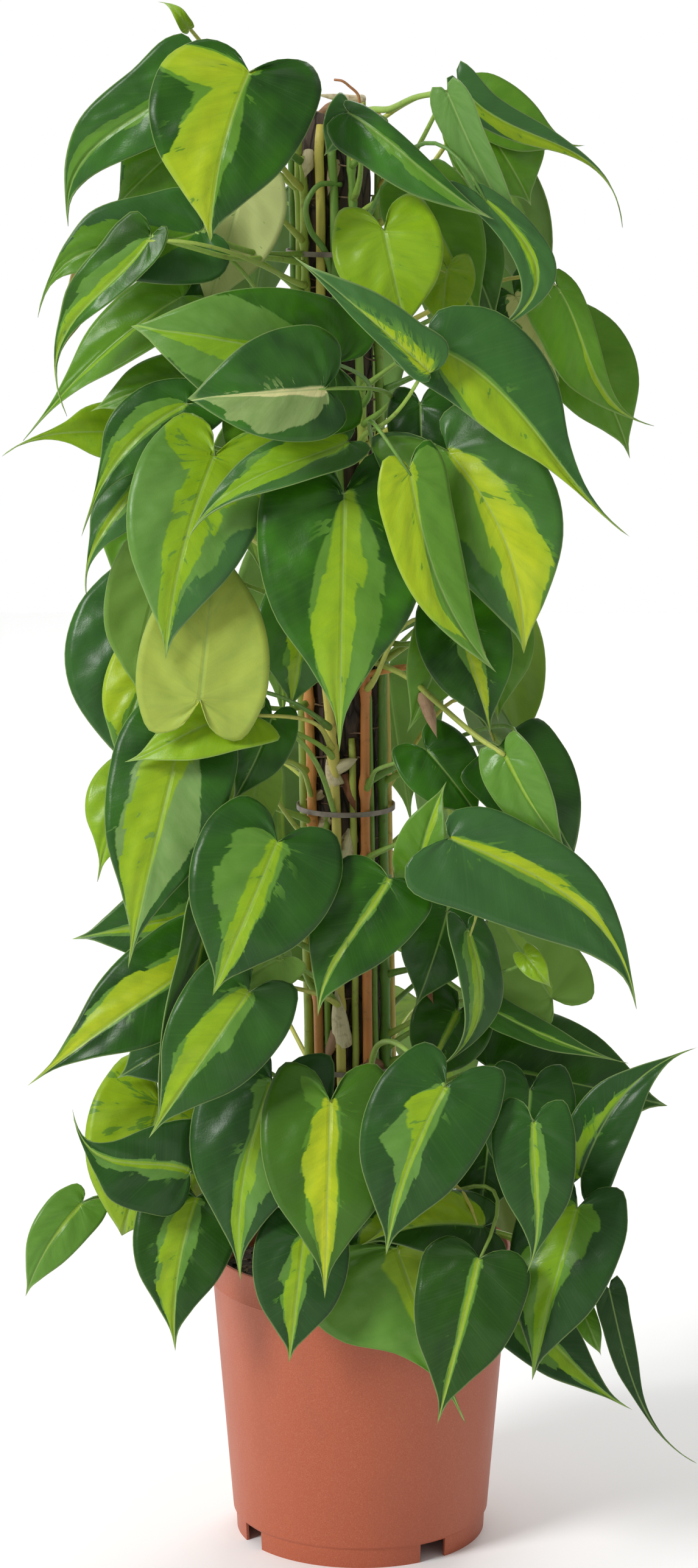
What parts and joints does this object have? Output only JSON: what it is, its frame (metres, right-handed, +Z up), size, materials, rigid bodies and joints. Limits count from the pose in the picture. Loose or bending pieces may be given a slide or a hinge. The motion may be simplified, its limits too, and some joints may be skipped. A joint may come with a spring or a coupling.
{
  "type": "potted brasil philodendron",
  "caption": "Climbing philodendron with heart-shaped green and lime leaves, tied to a bark pole in a round plastic nursery pot.",
  "frame": {"origin": "centre of the pot's foot on the surface that it stands on", "axes": "+Z up, -Y towards the side that is seen in the picture, +X to that viewer's right"},
  "size_m": [0.4271, 0.3395, 0.9609],
  "materials": {
    "terracotta_plastic": "satin",
    "soil": "matte",
    "bark": "matte",
    "tie_tape": "matte",
    "leaf": "satin",
    "stem": "satin"
  },
  "bodies": {
    "root": {"pot": "terracotta_plastic", "soil": "soil", "pole": "bark", "tie_01": "tie_tape", "tie_02": "tie_tape", "tie_03": "tie_tape", "tie_04": "tie_tape", "tie_05": "tie_tape", "vine_01": "leaf", "vine_02": "leaf", "vine_03": "leaf", "vine_04": "leaf", "vine_05": "leaf", "vine_06": "leaf", "vine_07": "leaf", "vine_08": "leaf", "vine_09": "leaf", "vine_10": "leaf", "vine_11": "leaf"}
  },
  "joints": []
}
